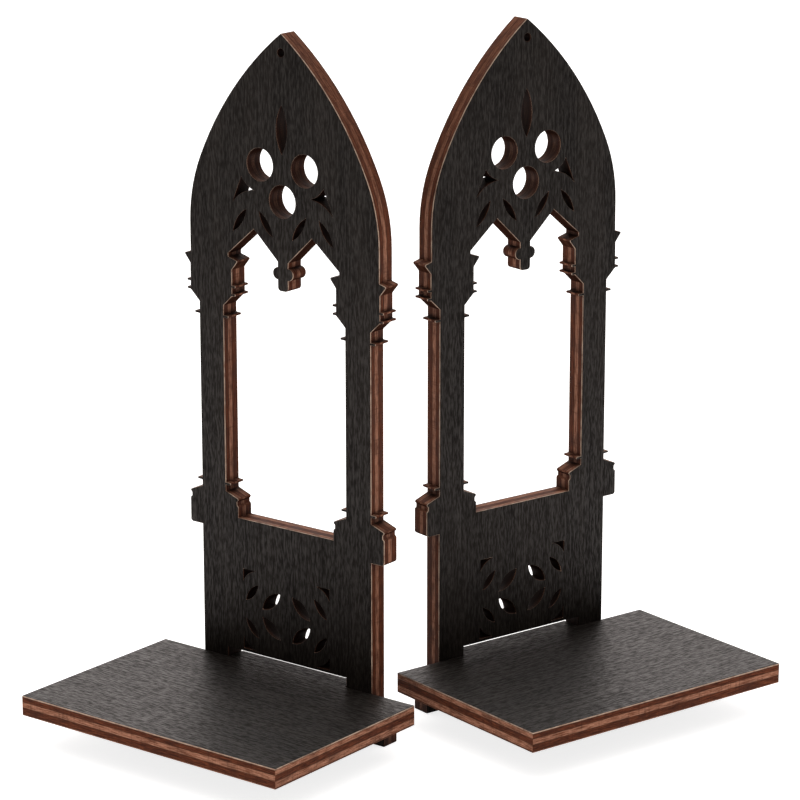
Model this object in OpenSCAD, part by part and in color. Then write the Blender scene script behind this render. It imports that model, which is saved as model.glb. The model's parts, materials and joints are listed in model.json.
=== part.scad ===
// A pair of gothic window book ends. Each one is two boards of laser-cut plywood: an upright in the
// shape of a pointed window, and a base plate whose tongue passes through a mortise in the upright.
// Heights on the upright are measured from its foot, and widths from its centre line.

/* [Boards] */
// Thickness of the plywood
board_t = 6.4; // [4:0.1:7]

/* [Base plate] */
// Width of the base plate, along the upright
base_w = 100; // [80:1:115]
// Depth of the base plate, in front of the upright
base_d = 66; // [40:1:120]
// Width of the tongue at the back of the base plate
tongue_w = 46.4; // [30:0.2:60]
// Height of the base plate's underside above the upright's foot
base_lift = 9.9; // [4:0.1:10.4]

/* [Mortise] */
// Side clearance between the tongue and the mortise
mortise_side_gap = 0.4; // [0.1:0.1:1.5]
// Height of the mortise left open above the tongue
mortise_top_gap = 2.9; // [0.2:0.1:3.2]

/* [Upright body] */
// Half the width of the plinth, below the base plate
plinth_hw = 38.3; // [34:0.1:45]
// Half the width of the panel under the window
panel_hw = 33.5; // [30:0.1:36]
// Height of the window sill
sill_h = 62.5; // [60:0.1:66]

/* [Piers beside the window] */
// Distance of each pier's axis from the centre line
pier_x = 28.6; // [27.5:0.1:29.5]
// Half the width of a pier's shaft
shaft_hw = 4.8; // [3:0.1:6]
// Half the width of a pier's pedestal
pedestal_hw = 9.75; // [8:0.05:11]
// Height of the pedestal's underside
pedestal_h = 57.9; // [56:0.1:59]
// Half the width of a pier's capital
capital_hw = 8.3; // [7:0.1:9]
// Height where the shaft widens into the capital
capital_h = 129.6; // [120:0.1:132]
// Height of the capital, up to its beaks
capital_rise = 14.4; // [12:0.1:15]
// Reach of the beaks at the top of the capital, from the pier's axis
beak_hw = 10.4; // [9:0.1:11]

/* [Arch] */
// Half the width of the arch where it springs
arch_hw = 36.7; // [36:0.05:38]
// Height of the arch's point
apex_h = 215.6; // [210:0.1:220]
// Distance of each main arc's centre beyond the centre line
arc_centre_x = 64; // [55:0.5:75]
// Height of the main arcs' centres
arc_centre_h = 131.6; // [128:0.1:136]
// Radius of the shoulder that joins each side to its main arc
shoulder_r = 50; // [25:1:55]

/* [Window head] */
// Half the width of the pendant between the two lights
pendant_hw = 2; // [1.5:0.1:3]
// Height of the pendant's lower end
pendant_h = 137.3; // [130:0.1:140]
// Distance of each light's peak from the centre line
light_peak_x = 11.3; // [10:0.1:13]
// Height of each light's peak
light_peak_h = 155.1; // [152:0.1:156]
// Height where the lights' sloping heads start
light_spring_h = 146.3; // [145.5:0.1:147]
// Distance of each light's outer corner from the centre line
light_corner_x = 21.6; // [20.5:0.1:22]

/* [Tracery] */
// Radius of the three roundels
roundel_r = 5.05; // [3.5:0.05:5.5]
// Distance of the upper roundels from the centre line
roundel_x = 8.6; // [7:0.1:9]
// Height of the upper roundels
roundel_h = 175.2; // [174:0.1:177]
// Height of the lower roundel
low_roundel_h = 164.9; // [163:0.1:166]
// Height of the centre of the carved panel under the window
carving_h = 33.3; // [33:0.1:37]
// Radius of the hanging hole under the arch's point
hang_r = 1.3; // [0.8:0.1:2]
// Distance of the hanging hole below the arch's point
hang_drop = 5.8; // [5:0.1:12]

/* [Placing the pair] */
// Angle that each book end is turned inwards
toe_angle = 37.5; // [30:0.5:45]
// Distance of each upright's centre from the middle of the pair
pair_half_gap = 37; // [36.5:0.1:80]
// How far the right book end stands behind the left one
pair_stagger = 29; // [27:1:60]

/* [Hidden] */
$fn = 64;

stain = [0.13, 0.12, 0.12];
mortise_w = tongue_w + 2 * mortise_side_gap;

// Main arc of the arch, and the height where the shoulder leaves the straight side
main_r = norm([arc_centre_x, apex_h - arc_centre_h]);
shoulder_run = main_r - shoulder_r;
shoulder_x = arch_hw - shoulder_r;
shoulder_h = arc_centre_h + sqrt(pow(shoulder_run, 2) - pow(shoulder_x + arc_centre_x, 2));
tangent_x = (shoulder_x + arc_centre_x) * main_r / shoulder_run - arc_centre_x;

// Top of the capital, where the beaks reach out
beak_h = capital_h + capital_rise;
pair_mid_y = base_d * cos(toe_angle) / 2;

// A pointed oval between two points
module leaf(a, b, width) {
    length = norm(b - a);
    r = (pow(length, 2) + pow(width, 2)) / (4 * width);
    translate((a + b) / 2)
        rotate(atan2(b.y - a.y, b.x - a.x))
            intersection_for (side = [-1, 1])
                translate([0, side * (r - width / 2)])
                    circle(r);
}

// Draws its children on both sides of the centre line
module both_sides() {
    children();
    mirror([1, 0]) children();
}

// A thin moulding round a pier, thicker in the middle than at its ends
module moulding(h, reach) {
    edge = 0.35;
    root = 0.6;
    polygon([
        [-reach, h - edge], [0, h - root], [reach, h - edge],
        [reach, h + edge], [0, h + root], [-reach, h + edge]
    ]);
}

// One pier of the window: pedestal, shaft and capital, the same on both sides of its axis
module pier() {
    chamfer = 0.6;
    nib = 0.25;
    block_rise = 8.2;
    cap_rise = 2.2;
    cap_slope = 2;
    bell_rise = 3.3;
    beak_drop = 2.8;
    beak_back_hw = 7;
    beak_back_rise = 1.2;
    block_top = pedestal_h + block_rise;
    cap_top = block_top + cap_rise;
    neck_hw = pedestal_hw - chamfer;
    bell_top = capital_h + bell_rise;
    beak_foot = beak_h - beak_drop;
    profile = [
        [neck_hw, pedestal_h], [pedestal_hw, pedestal_h + chamfer], [pedestal_hw, block_top - nib],
        [neck_hw, block_top + nib], [neck_hw, cap_top - chamfer - nib],
        [pedestal_hw, cap_top - nib], [pedestal_hw - nib, cap_top + nib], [shaft_hw, cap_top + cap_slope],
        [shaft_hw, capital_h], [capital_hw, bell_top], [capital_hw, beak_foot],
        [beak_hw, beak_h - nib], [beak_hw, beak_h + nib],
        [beak_back_hw, beak_h + beak_back_rise]
    ];
    polygon([each profile, for (i = [len(profile) - 1:-1:0]) [-profile[i].x, profile[i].y]]);

    shaft_ring_hw = shaft_hw + 1.85;
    capital_ring_hw = capital_hw + 1.3;
    low_ring_rise = 4.4;
    high_ring_drop = 3.5;
    capital_ring_rises = [3.7, 6.3];
    moulding(cap_top + low_ring_rise, shaft_ring_hw);
    moulding(capital_h - high_ring_drop, shaft_ring_hw);
    for (rise = capital_ring_rises)
        moulding(capital_h + rise, capital_ring_hw);
}

// The pointed arch above the capitals, before it is pierced
module arch_blank() {
    intersection() {
        translate([-arc_centre_x, arc_centre_h]) circle(main_r);
        translate([arc_centre_x, arc_centre_h]) circle(main_r);
        union() {
            translate([-arch_hw, beak_h]) square([2 * arch_hw, shoulder_h - beak_h]);
            translate([-tangent_x, beak_h]) square([2 * tangent_x, apex_h - beak_h + 1]);
            both_sides()
                intersection() {
                    translate([shoulder_x, shoulder_h]) circle(shoulder_r);
                    translate([0, beak_h]) square([arch_hw, apex_h - beak_h]);
                }
        }
    }
}

// The two sloping heads of the window's lights
module light_heads() {
    foot = beak_h - 1;
    both_sides()
        polygon([
            [-1, foot], [-1, light_spring_h], [pendant_hw, light_spring_h],
            [light_peak_x, light_peak_h], [light_corner_x, light_spring_h], [light_corner_x, foot]
        ]);
}

// The drop between the two lights, with a knob on each side
module pendant() {
    corner = 1.2;
    flat_hw = pendant_hw - corner;
    knob_r = 1.9;
    knob_rise = 5.4;
    shoulder = pendant_h + corner;
    translate([-pendant_hw, shoulder])
        square([2 * pendant_hw, light_spring_h + 1 - shoulder]);
    translate([-flat_hw, pendant_h]) square([2 * flat_hw, corner]);
    both_sides() {
        translate([flat_hw, shoulder]) circle(corner);
        translate([pendant_hw, pendant_h + knob_rise]) circle(knob_r);
    }
}

// Curved triangle between an upper roundel, the arch and the hood over a light
module spandrel() {
    tip_low = [20.2, 162];
    tip_in = [10.9, 167];
    tip_top = [15.6, 170.9];
    beyond = [21, 171];
    arch_band = 16.7;
    roundel_ring_r = 8.6;
    hood_r = 11.3;
    hood_shift = [-0.8, 0.6];
    hood_centre = [light_peak_x, light_peak_h] + hood_shift;
    difference() {
        intersection() {
            translate([-arc_centre_x, arc_centre_h]) circle(main_r - arch_band);
            polygon([tip_in, tip_low, beyond, tip_top]);
        }
        translate([roundel_x, roundel_h]) circle(roundel_ring_r);
        translate(hood_centre) circle(hood_r);
    }
}

// Holes through the arch: three roundels under a tall leaf, and a pair of leaves over each light
module head_tracery() {
    tall_leaf = [[0, 179.2], [0, 194], 4.2];
    small_leaf = [[2.5, 5.8], [7.8, -1.6], 2.2];
    leaf_axis_x = light_peak_x + 0.3;
    leaf(tall_leaf[0], tall_leaf[1], tall_leaf[2]);
    translate([0, low_roundel_h]) circle(roundel_r);
    both_sides() {
        translate([roundel_x, roundel_h]) circle(roundel_r);
        translate([leaf_axis_x, light_peak_h])
            both_sides() leaf(small_leaf[0], small_leaf[1], small_leaf[2]);
        spandrel();
    }
    translate([0, apex_h - hang_drop]) circle(hang_r);
}

// One corner of the carved panel: a triangle with one hollow side
module panel_corner() {
    corner = [17.1, 13];
    size = [4.7, 4.6];
    hollow_centre = [11, 6.3];
    hollow_r = 6.8;
    difference() {
        translate(corner - size) square(size);
        translate(hollow_centre) circle(hollow_r);
    }
}

// Holes through the panel under the window: a rosette of petals in a square of leaves
module panel_tracery() {
    petal = [[2.5, 7.4], [9.4, 1.3], 3.6];
    side_leaf = [[16, 3], [11.2, 8.6], 2.2];
    translate([0, carving_h])
        both_sides()
            for (flip = [0, 1])
                mirror([0, flip]) {
                    leaf(petal[0], petal[1], petal[2]);
                    leaf(side_leaf[0], side_leaf[1], side_leaf[2]);
                    panel_corner();
                }
}

module upright_outline() {
    difference() {
        union() {
            translate([-plinth_hw, 0]) square([2 * plinth_hw, base_lift]);
            translate([-panel_hw, 0]) square([2 * panel_hw, pedestal_h + 1]);
            translate([-pier_x, pedestal_h]) square([2 * pier_x, sill_h - pedestal_h]);
            both_sides() translate([pier_x, 0]) pier();
            pendant();
            difference() {
                arch_blank();
                light_heads();
            }
        }
        head_tracery();
        panel_tracery();
        translate([-mortise_w / 2, base_lift]) square([mortise_w, board_t + mortise_top_gap]);
    }
}

// The upright stands behind the line y = 0, with its foot on the table
module upright() {
    color(stain)
        translate([0, board_t, 0])
            rotate([90, 0, 0])
                linear_extrude(board_t) upright_outline();
}

// The base plate lies in front of the line y = 0, and its tongue ends flush with the upright's back
module base() {
    color(stain)
        translate([0, 0, base_lift])
            linear_extrude(board_t) {
                translate([-base_w / 2, -base_d]) square([base_w, base_d]);
                translate([-tongue_w / 2, -1]) square([tongue_w, board_t + 1]);
            }
}

// The two book ends stand in a V, and the origin is under the middle of the pair
module place(side) {
    translate([side * pair_half_gap, pair_mid_y + side * pair_stagger / 2, 0])
        rotate([0, 0, side * toe_angle])
            children();
}

module left_upright() place(-1) upright();
module left_base() place(-1) base();
module right_upright() place(1) upright();
module right_base() place(1) base();

left_upright();
left_base();
right_upright();
right_base();
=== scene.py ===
"""Looks for a pair of gothic window book ends: stained plywood boards with laser-cut edges."""

import json
import math

import bpy
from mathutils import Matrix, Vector


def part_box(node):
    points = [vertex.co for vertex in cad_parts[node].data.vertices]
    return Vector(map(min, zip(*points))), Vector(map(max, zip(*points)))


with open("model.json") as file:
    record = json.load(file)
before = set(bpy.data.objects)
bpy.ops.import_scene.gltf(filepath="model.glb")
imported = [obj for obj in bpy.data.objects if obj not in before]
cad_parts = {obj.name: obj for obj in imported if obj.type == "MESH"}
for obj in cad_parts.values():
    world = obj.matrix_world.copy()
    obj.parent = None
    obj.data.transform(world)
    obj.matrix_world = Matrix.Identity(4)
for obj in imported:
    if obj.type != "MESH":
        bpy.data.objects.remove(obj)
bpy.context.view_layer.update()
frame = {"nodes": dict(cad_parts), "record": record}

MM = 0.001
SIDES = ("left", "right")

# Arrises, rounded by the sander
BEVEL_WIDTH = 0.22 * MM
BEVEL_SEGMENTS = 2
WELD_DISTANCE = 0.002 * MM
FLAT_ANGLE = math.radians(0.3)
SHARP_ANGLE = math.radians(32)

# Plywood, through the thickness of a board from its stained face: where each ply ends, as a share
# of the thickness, and whether its grain runs across the grain of the face. Around each end the
# glue line is full within the near share, and gone beyond the far one.
PLIES = ((0.065, False), (0.31, True), (0.60, False), (0.925, True), (1.0, False))
PLY_BLUR = 0.018
GLUE_NEAR, GLUE_FAR = 0.010, 0.030

# Each pattern's noise: how fast it changes along the grain, across it and through the board, per
# millimetre, then its detail, roughness and distortion
PATTERNS = {
    "streaks": ((0.06, 1.0, 1.0), 3.0, 0.6, 0.15),
    "pores": ((0.36, 1.80, 1.0), 2.0, 0.55, 0.2),
    "figure": ((0.012, 0.10, 1.0), 2.0, 0.5, 0.4),
    "wobble": ((0.045, 0.045, 0.0), 3.0, 0.6, 0.0),
    "fibres": ((0.24, 0.24, 3.2), 4.0, 0.65, 0.3),
    "pulses": ((1.9, 1.9, 0.12), 2.0, 0.5, 0.0),
    "scorch": ((0.14, 0.14, 0.3), 3.0, 0.6, 0.0),
    "rubbing": ((0.35, 0.35, 0.0), 3.0, 0.6, 0.0),
    "mottle": ((3.0, 3.0, 3.0), 3.0, 0.5, 0.0),
}

# Each ramp: the values where it starts and ends, then its result at the start and at the end
RAMPS = {
    # Stained faces, by the strength of their patterns and then by their tone
    "streak_tone": (0.30, 0.72, 0.0, 0.5),
    "pore_tone": (0.34, 0.68, 0.0, 0.7),
    "mid_stain": (-0.4, 1.0, 0.0, 1.0),
    "pale_stain": (0.60, 1.20, 0.0, 0.18),
    "pale_figure": (0.3, 0.75, 0.0, 0.16),
    "face_roughness": (0.0, 1.2, 0.56, 0.41),
    # Painted shade near where the two boards meet, by how open the face is: it cuts the gloss
    "shaded_joint_gloss": (0.40, 1.0, 0.15, 1.0),
    # Cut edges, by the strength of their patterns
    "long_grain": (0.36, 0.64, 0.0, 1.0),
    "end_grain": (0.34, 0.70, 0.0, 1.0),
    "scorch": (0.46, 0.72, 0.0, 0.60),
    "pulses": (0.50, 0.80, 0.0, 0.45),
    "edge_roughness": (0.3, 0.8, 0.62, 0.45),
    "rubbing": (0.30, 0.62, 0.3, 1.0),
    # Cut edges, by how far up they face: painted shade on those facing down, darker and without
    # gloss
    "shaded_underside": (-0.80, -0.10, 0.85, 0.0),
    "edge_gloss": (-0.6, 0.0, 0.0, 0.06),
    # Cut edges, by how open they are: narrow cuts lose the pale rim and are darkened, partly laser
    # char and partly painted shade
    "open_edge": (0.62, 0.92, 0.0, 1.0),
    "char_and_shade_in_cut": (0.38, 0.88, 0.95, 0.0),
    # Cut edges, by their share of the board's thickness
    "front_rim": (0.035, 0.078, 0.9, 0.0),
    "back_rim": (0.95, 0.99, 0.0, 0.5),
    # Where a cut edge takes over from a face, by how far the surface is turned the face's way
    "on_edge": (0.86, 0.97, 1.0, 0.0),
    # The floor's paper, and the studio's glow by how far it is towards the back
    "mottle": (0.3, 0.7, 0.0, 0.3),
    "studio": (-0.6, 0.5, 0.26, 0.95),
}

# The stain's tone where its gloss starts and stops rising, and other strengths and depths
GLOSS_TONES = (0.15, 1.05)
PLY_WOBBLE = 0.05
END_GRAIN_POWER = 0.9
GLUE_STRENGTH = 0.75
PULSE_HEIGHT = 0.4
BUMP_STRENGTH = 0.6
BUMP_DEPTH = 0.12 * MM
STAIN_IOR = 1.48
OPENNESS_SAMPLES = 8

# Shift of the second book end's pattern along the grain, in millimetres
BOARD_OFFSET = 400

# Colours, linear
STAIN_DARK = (0.0032, 0.0024, 0.0020)
STAIN_MID = (0.0092, 0.0071, 0.0058)
STAIN_PALE = (0.044, 0.036, 0.030)
LONG_GRAIN = (0.46, 0.225, 0.142)
LONG_GRAIN_DARK = (0.165, 0.058, 0.030)
END_GRAIN = (0.172, 0.049, 0.021)
END_GRAIN_DARK = (0.042, 0.012, 0.006)
BARE_RIM = (0.62, 0.47, 0.36)
# Painted shade on edges that face down and in narrow cuts, in the dark colour of char; in narrow
# cuts it is partly real char
SHADE_AND_CHAR = (0.010, 0.005, 0.004)
GLUE_LINE = (0.05, 0.02, 0.010)
PAPER = (0.80, 0.80, 0.80)
PAPER_PALE = (0.84, 0.84, 0.84)
DAYLIGHT = (1.0, 0.962, 0.935)
FLOOR_LIGHT = (1.0, 0.90, 0.875)

# How glossy the stain is on each board, in its pores and between them, and how deep its edges
# are burnt
UPRIGHT_LOOKS = {"gloss": (0.080, 0.255), "burn": 0.20}
BASE_LOOKS = {"gloss": (0.18, 0.80), "burn": 0.0}

# Narrow cuts are darker than open edges, partly from the laser's scorch and partly as painted shade
# in their depths, and this far is looked for an opposite wall
CUT_REACH = 13 * MM

# Where the two boards meet, their faces get painted shade: less gloss, standing in for the shade
# each casts on the other. This far is looked for the other board
JOINT_REACH = 30 * MM

# The floor's glow: as the camera sees it, and as it falls on the boards, from a pool of light that
# is dim to the left and right, widens towards the back and is shaded near the boards
FLOOR_GLOW = 0.80
POOL_NEAR, POOL_FAR, POOL_SPREAD = 0.30, 0.56, 0.4
POOL_GLOW, POOL_DIM = 1.06, 0.04
SHADE_NEAR, SHADE_FAR, SHADE_DEPTH = 0.06, 0.24, 0.55

PAPER_ROUGHNESS = 0.9
PAPER_GLOSS = 0.1

# The studio's glow as the camera sees it, and the large soft light above the boards
STUDIO_SEEN = 1.1
OVERHEAD_PLACE = Vector((0.0, 0.1, 1.6))
OVERHEAD_SIZE = (2.2, 2.2)
OVERHEAD_POWER = 14.0

# Camera, in the row frame
CAMERA_PLACE = Vector((-0.0002, -0.9743, 0.3719))
CAMERA_PITCH = math.radians(15.227)
CAMERA_LENS = 151.38
CAMERA_SENSOR = 36.0
CAMERA_CLIP = (0.05, 50.0)
CAMERA_SHIFT = -0.0064


class Graph:
    """A node tree of a material or of the world, with short calls for the nodes that they share."""

    def __init__(self, owner, shader):
        owner.use_nodes = True
        self.tree = owner.node_tree
        self.shader = self.tree.nodes[shader]

    def feed(self, socket, value):
        if isinstance(value, bpy.types.NodeSocket):
            self.tree.links.new(value, socket)
        elif socket.type == "RGBA" and len(value) == 3:
            socket.default_value = (*value, 1.0)
        else:
            socket.default_value = value

    def node(self, kind, inputs=(), **settings):
        node = self.tree.nodes.new("ShaderNode" + kind)
        for key, value in settings.items():
            setattr(node, key, value)
        for key, value in dict(inputs).items():
            self.feed(node.inputs[key], value)
        return node

    def math(self, operation, *values, clamp=False):
        node = self.node("Math", operation=operation, use_clamp=clamp)
        for socket, value in zip(node.inputs, values):
            self.feed(socket, value)
        return node.outputs[0]

    def step(self, value, start, end, low=0.0, high=1.0):
        """A smooth step from low to high as value goes from start to end."""
        inputs = {"Value": value, "From Min": start, "From Max": end, "To Min": low, "To Max": high}
        return self.node("MapRange", inputs, interpolation_type="SMOOTHSTEP").outputs[0]

    def mix(self, share, first, second):
        node = self.node("Mix", data_type="RGBA")
        for index, value in ((0, share), (6, first), (7, second)):
            self.feed(node.inputs[index], value)
        return node.outputs[2]

    def blend(self, share, first, second):
        return self.node("Mix", {0: share, 2: first, 3: second}, data_type="FLOAT").outputs[0]

    def split(self, vector):
        return self.node("SeparateXYZ", {"Vector": vector}).outputs[:]

    def ramp(self, name, value):
        return self.step(value, *RAMPS[name])

    def pattern(self, name, point):
        """A named noise at a point in a board, stretched along each of the board's directions."""
        rate, detail, roughness, distortion = PATTERNS[name]
        x, y, z = (self.math("MULTIPLY", part, speed) for part, speed in zip(point, rate))
        at = self.node("CombineXYZ", {"X": x, "Y": y, "Z": z}).outputs[0]
        inputs = {"Vector": at, "Scale": 1.0, "Detail": detail,
                  "Roughness": roughness, "Distortion": distortion}
        return self.node("TexNoise", inputs).outputs["Fac"]

    def openness(self, reach):
        """How much of the surroundings within reach is open, from 0 to 1."""
        inputs = {"Distance": reach}
        return self.node("AmbientOcclusion", inputs, samples=OPENNESS_SAMPLES).outputs["AO"]

    def drive(self, **inputs):
        for key, value in inputs.items():
            self.feed(self.shader.inputs[key.replace("_", " ")], value)


def book_end_place(side):
    """Where a book end's own frame is: its origin is on the upright's front face at its foot, +X
    goes across the upright and +Y back through it."""
    mounts = {mount["name"]: mount for mount in frame["record"]["mounts"]}
    back = Vector(mounts[side + "_wall_face"]["axis"])
    foot = Vector(mounts[side + "_foot_face"]["pos_m"])
    base_low, base_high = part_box(side + "_base")
    thickness = base_high.z - base_low.z
    return {
        "origin": foot - back * thickness / 2,
        "turn": math.atan2(-back.x, back.y),
        "thickness": thickness,
        "base_top": base_high.z,
    }


def board_space(graph, place, is_base, offset):
    """A point's place in its board, in millimetres: along the face's grain, across it, and the
    depth from the stained face. The second result is the same for the surface's direction. The
    offset along the grain gives each board a figure of its own."""
    turn = (0.0, 0.0, place["turn"])
    coordinates = graph.node("TexCoord").outputs["Object"]
    local = graph.node("Mapping", {"Vector": coordinates, "Location": place["origin"],
                                   "Rotation": turn, "Scale": (MM, MM, MM)}, vector_type="TEXTURE")
    x, y, z = graph.split(local.outputs[0])
    world_normal = graph.node("NewGeometry").outputs["Normal"]
    normal = graph.node("VectorTransform", {"Vector": world_normal}, vector_type="NORMAL",
                        convert_from="WORLD", convert_to="OBJECT").outputs[0]
    turned = graph.node("VectorRotate", {"Vector": normal, "Rotation": (0.0, 0.0, -place["turn"])},
                        rotation_type="EULER_XYZ").outputs[0]
    nx, ny, nz = graph.split(turned)
    if is_base:
        depth = graph.math("SUBTRACT", place["base_top"] / MM, z)
        return (graph.math("ADD", x, offset), y, depth), (nx, ny, nz)
    return (graph.math("ADD", z, offset), x, y), (nz, nx, ny)


def stained_face(graph, point, gloss):
    """Colour, roughness, gloss and height of the stained veneer, whose pores show as short dashes
    between longer streaks."""
    tone = graph.math("ADD", graph.ramp("streak_tone", graph.pattern("streaks", point)),
                      graph.ramp("pore_tone", graph.pattern("pores", point)))
    figure = graph.pattern("figure", point)
    colour = graph.mix(graph.ramp("mid_stain", tone), STAIN_DARK, STAIN_MID)
    colour = graph.mix(graph.ramp("pale_stain", tone), colour, STAIN_PALE)
    colour = graph.mix(graph.ramp("pale_figure", figure), colour, STAIN_PALE)
    shine = graph.step(tone, *GLOSS_TONES, *gloss)
    # Painted shade: the gloss is cut where the other board is near, standing in for the shade
    # between the boards
    gloss = graph.math("MULTIPLY", shine, graph.ramp("shaded_joint_gloss", graph.openness(JOINT_REACH)))
    return colour, graph.ramp("face_roughness", tone), gloss, tone


def ply_pattern(graph, share, normal):
    """How much of the cut edge is end grain, and how near it is to a glue line."""
    end_of_face_grain = graph.math("ABSOLUTE", normal[0])
    end_of_cross_grain = graph.math("ABSOLUTE", normal[1])
    end_grain = 0.0
    glue = 0.0
    start = 0.0
    for end, crosswise in PLIES:
        inside = graph.math("SUBTRACT", graph.step(share, start - PLY_BLUR, start + PLY_BLUR),
                            graph.step(share, end - PLY_BLUR, end + PLY_BLUR))
        ply_end = end_of_cross_grain if crosswise else end_of_face_grain
        end_grain = graph.math("ADD", end_grain, graph.math("MULTIPLY", inside, ply_end))
        from_line = graph.math("ABSOLUTE", graph.math("SUBTRACT", share, end))
        near_line = graph.step(from_line, GLUE_NEAR, GLUE_FAR, 1.0, 0.0)
        glue = graph.math("MAXIMUM", glue, near_line)
        start = end
    return end_grain, glue


def laser_cut_edge(graph, point, normal, thickness, burn):
    """Colour, roughness, gloss and height of a cut edge: the plies, each long or end grain by the
    way the edge faces, under the laser's scorch marks. Narrow cuts are darkened, partly laser char
    and partly painted shade, and edges facing down get painted shade."""
    facing_up = graph.split(graph.node("NewGeometry").outputs["Normal"])[2]
    openness = graph.openness(CUT_REACH)
    wobble = graph.math("MULTIPLY_ADD", graph.pattern("wobble", point), PLY_WOBBLE, -PLY_WOBBLE / 2)
    share = graph.math("ADD", graph.math("DIVIDE", point[2], thickness), wobble)
    end_grain, glue = ply_pattern(graph, share, normal)
    fibres = graph.pattern("fibres", point)
    pulses = graph.pattern("pulses", point)
    scorch = graph.pattern("scorch", point)
    long_cut = graph.mix(graph.ramp("long_grain", fibres), LONG_GRAIN_DARK, LONG_GRAIN)
    end_cut = graph.mix(graph.ramp("end_grain", fibres), END_GRAIN_DARK, END_GRAIN)
    end_share = graph.math("POWER", end_grain, END_GRAIN_POWER, clamp=True)
    colour = graph.mix(end_share, long_cut, end_cut)
    colour = graph.mix(graph.math("MULTIPLY", glue, GLUE_STRENGTH), colour, GLUE_LINE)
    colour = graph.mix(graph.ramp("scorch", scorch), colour, END_GRAIN_DARK)
    colour = graph.mix(graph.ramp("pulses", pulses), colour, END_GRAIN_DARK)
    colour = graph.mix(burn, colour, END_GRAIN_DARK)
    # Painted shade on edges that face down
    colour = graph.mix(graph.ramp("shaded_underside", facing_up), colour, SHADE_AND_CHAR)
    rubbing = graph.ramp("rubbing", graph.pattern("rubbing", point))
    bare = graph.math("MULTIPLY", graph.ramp("open_edge", openness), rubbing)
    front_rim = graph.math("MULTIPLY", graph.ramp("front_rim", share), bare)
    colour = graph.mix(front_rim, colour, BARE_RIM)
    back_rim = graph.math("MULTIPLY", graph.ramp("back_rim", share), bare)
    colour = graph.mix(back_rim, colour, LONG_GRAIN)
    # Narrow cuts darkened: partly laser char, partly painted shade in their depths
    colour = graph.mix(graph.ramp("char_and_shade_in_cut", openness), colour, SHADE_AND_CHAR)
    roughness = graph.ramp("edge_roughness", scorch)
    gloss = graph.ramp("edge_gloss", facing_up)
    return colour, roughness, gloss, graph.blend(PULSE_HEIGHT, fibres, pulses)


def board_material(name, place, is_base, offset):
    """Stained on the two faces, laser-cut on the edges between them."""
    looks = BASE_LOOKS if is_base else UPRIGHT_LOOKS
    material = bpy.data.materials.new(name)
    graph = Graph(material, "Principled BSDF")
    point, normal = board_space(graph, place, is_base, offset)
    face_colour, face_roughness, face_gloss, face_height = stained_face(
        graph, point, looks["gloss"])
    edge_colour, edge_roughness, edge_gloss, edge_height = laser_cut_edge(
        graph, point, normal, place["thickness"] / MM, looks["burn"])
    on_edge = graph.ramp("on_edge", graph.math("ABSOLUTE", normal[2]))
    height = graph.blend(on_edge, face_height, edge_height)
    bump = {"Strength": BUMP_STRENGTH, "Distance": BUMP_DEPTH, "Height": height}
    graph.drive(Base_Color=graph.mix(on_edge, face_colour, edge_colour),
                Roughness=graph.blend(on_edge, face_roughness, edge_roughness),
                Specular_IOR_Level=graph.blend(on_edge, face_gloss, edge_gloss),
                Normal=graph.node("Bump", bump).outputs[0], IOR=STAIN_IOR)
    return material


def smooth_by_angle():
    """Geometry nodes that shade a mesh smooth, apart from its sharp edges."""
    group = bpy.data.node_groups.new("smooth_by_angle", "GeometryNodeTree")
    group.interface.new_socket("Geometry", in_out="INPUT", socket_type="NodeSocketGeometry")
    group.interface.new_socket("Geometry", in_out="OUTPUT", socket_type="NodeSocketGeometry")
    nodes, links = group.nodes, group.links
    start, end = nodes.new("NodeGroupInput"), nodes.new("NodeGroupOutput")
    clear = nodes.new("GeometryNodeRemoveAttribute")
    clear.inputs["Name"].default_value = "custom_normal"
    faces, edges = nodes.new("GeometryNodeSetShadeSmooth"), nodes.new("GeometryNodeSetShadeSmooth")
    edges.domain = "EDGE"
    angle, sharp = nodes.new("GeometryNodeInputMeshEdgeAngle"), nodes.new("FunctionNodeCompare")
    sharp.operation = "LESS_THAN"
    sharp.inputs[1].default_value = SHARP_ANGLE
    links.new(start.outputs[0], clear.inputs["Geometry"])
    links.new(clear.outputs[0], faces.inputs["Geometry"])
    links.new(faces.outputs[0], edges.inputs["Geometry"])
    links.new(angle.outputs["Unsigned Angle"], sharp.inputs[0])
    links.new(sharp.outputs[0], edges.inputs["Shade Smooth"])
    links.new(edges.outputs[0], end.inputs[0])
    return group


def soften_edges(board, smoothing):
    """Rounds a board's arrises a little, with modifiers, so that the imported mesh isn't changed."""
    weld = board.modifiers.new("weld", "WELD")
    weld.merge_threshold = WELD_DISTANCE
    flat = board.modifiers.new("flat", "DECIMATE")
    flat.decimate_type = "DISSOLVE"
    flat.angle_limit = FLAT_ANGLE
    bevel = board.modifiers.new("arris", "BEVEL")
    bevel.width = BEVEL_WIDTH
    bevel.segments = BEVEL_SEGMENTS
    bevel.limit_method = "ANGLE"
    bevel.angle_limit = SHARP_ANGLE
    bevel.use_clamp_overlap = False
    smooth = board.modifiers.new("smooth", "NODES")
    smooth.node_group = smoothing
    weighted = board.modifiers.new("flat_faces", "WEIGHTED_NORMAL")
    weighted.keep_sharp = True


def dress_boards():
    smoothing = smooth_by_angle()
    for index, side in enumerate(SIDES):
        place = book_end_place(side)
        for part, is_base in (("upright", False), ("base", True)):
            board = frame["nodes"][side + "_" + part]
            material = board_material(board.name + "_plywood", place, is_base, index * BOARD_OFFSET)
            board.data.materials.clear()
            board.data.materials.append(material)
            soften_edges(board, smoothing)


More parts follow.
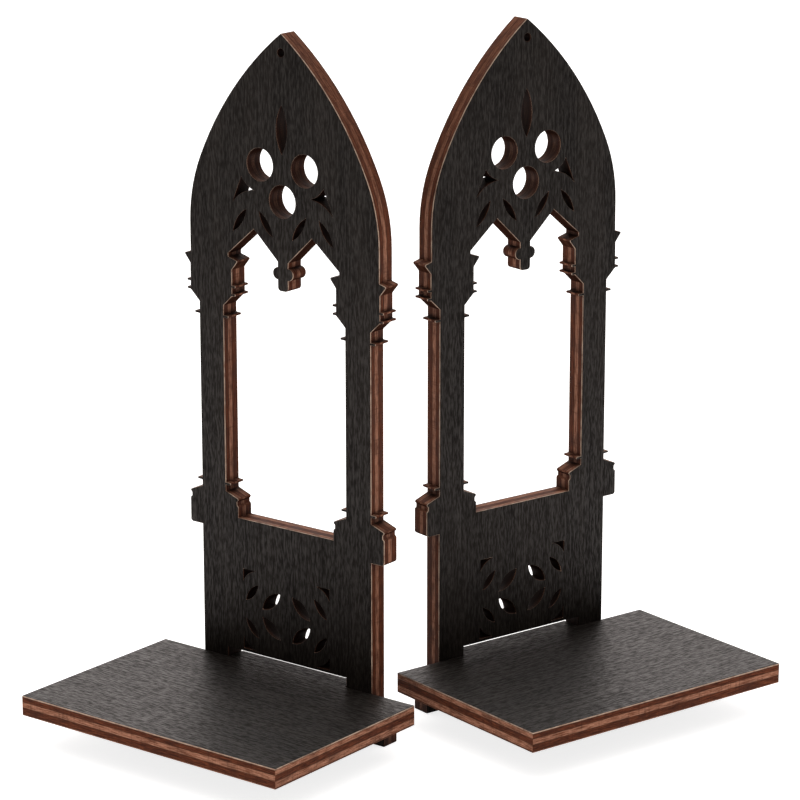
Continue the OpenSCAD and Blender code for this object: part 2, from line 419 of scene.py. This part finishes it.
def floor():
    """A plain pale sweep, far wider than the view, that glows: evenly white to the camera, and onto
    the boards as a pool of light with a painted shadow near them.
    """
    half_width, front, back, rise = 4.0, -3.0, 4.0, 3.0
    bend, steps = 1.0, 12
    profile = [(front, 0.0), (back - bend, 0.0)]
    for step in range(1, steps + 1):
        angle = math.pi / 2 * step / steps
        profile.append((back - bend + bend * math.sin(angle), bend - bend * math.cos(angle)))
    profile.append((back, rise))
    vertices = [(x, y, z) for y, z in profile for x in (-half_width, half_width)]
    faces = [(2 * i, 2 * i + 1, 2 * i + 3, 2 * i + 2) for i in range(len(profile) - 1)]
    mesh = bpy.data.meshes.new("floor")
    mesh.from_pydata(vertices, [], faces)
    mesh.shade_smooth()
    sweep = bpy.data.objects.new("floor", mesh)
    bpy.context.scene.collection.objects.link(sweep)
    material = bpy.data.materials.new("paper_floor")
    graph = Graph(material, "Principled BSDF")
    place = graph.node("TexCoord").outputs["Object"]
    x, y, z = graph.split(place)
    mottle = graph.ramp("mottle", graph.pattern("mottle", (x, y, z)))
    aside = graph.math("MULTIPLY_ADD", y, -POOL_SPREAD, graph.math("ABSOLUTE", x))
    reach = graph.node("VectorMath", {"Vector": place}, operation="LENGTH").outputs["Value"]
    # Painted shadow: the glow that falls on the boards is dimmed near them, standing in for their
    # shade on the floor
    shade = graph.step(reach, SHADE_NEAR, SHADE_FAR, 1.0 - SHADE_DEPTH, 1.0)
    pool = graph.math("MULTIPLY", graph.step(aside, POOL_NEAR, POOL_FAR, POOL_GLOW, POOL_DIM), shade)
    seen = graph.node("LightPath").outputs["Is Camera Ray"]
    graph.drive(Base_Color=graph.mix(mottle, PAPER, PAPER_PALE),
                Roughness=PAPER_ROUGHNESS, Specular_IOR_Level=PAPER_GLOSS,
                Emission_Color=graph.mix(seen, FLOOR_LIGHT, (1.0, 1.0, 1.0)),
                Emission_Strength=graph.blend(seen, pool, FLOOR_GLOW))
    mesh.materials.append(material)


def overhead_light():
    data = bpy.data.lights.new("overhead", "AREA")
    data.shape = "RECTANGLE"
    data.size, data.size_y = OVERHEAD_SIZE
    data.energy = OVERHEAD_POWER
    data.color = DAYLIGHT
    light = bpy.data.objects.new("overhead", data)
    bpy.context.scene.collection.objects.link(light)
    light.location = OVERHEAD_PLACE
    light.rotation_mode = "QUATERNION"
    light.rotation_quaternion = (-OVERHEAD_PLACE).to_track_quat("-Z", "Y")


def lights():
    """A pale studio that is darker on the camera's side, and a large soft light overhead."""
    world = bpy.data.worlds.new("studio")
    graph = Graph(world, "Background")
    towards_back = graph.split(graph.node("TexCoord").outputs["Generated"])[1]
    studio = graph.ramp("studio", towards_back)
    seen = graph.node("LightPath").outputs["Is Camera Ray"]
    graph.drive(Color=DAYLIGHT, Strength=graph.blend(seen, studio, STUDIO_SEEN))
    bpy.context.scene.world = world
    overhead_light()


def camera():
    data = bpy.data.cameras.new("camera")
    data.lens = CAMERA_LENS
    data.sensor_width = CAMERA_SENSOR
    data.shift_x = CAMERA_SHIFT
    data.clip_start, data.clip_end = CAMERA_CLIP
    viewer = bpy.data.objects.new("camera", data)
    viewer.location = CAMERA_PLACE
    viewer.rotation_euler = (math.pi / 2 - CAMERA_PITCH, 0.0, 0.0)
    bpy.context.scene.collection.objects.link(viewer)
    bpy.context.scene.camera = viewer


dress_boards()
floor()
lights()
camera()
bpy.context.scene.view_settings.view_transform = "Standard"
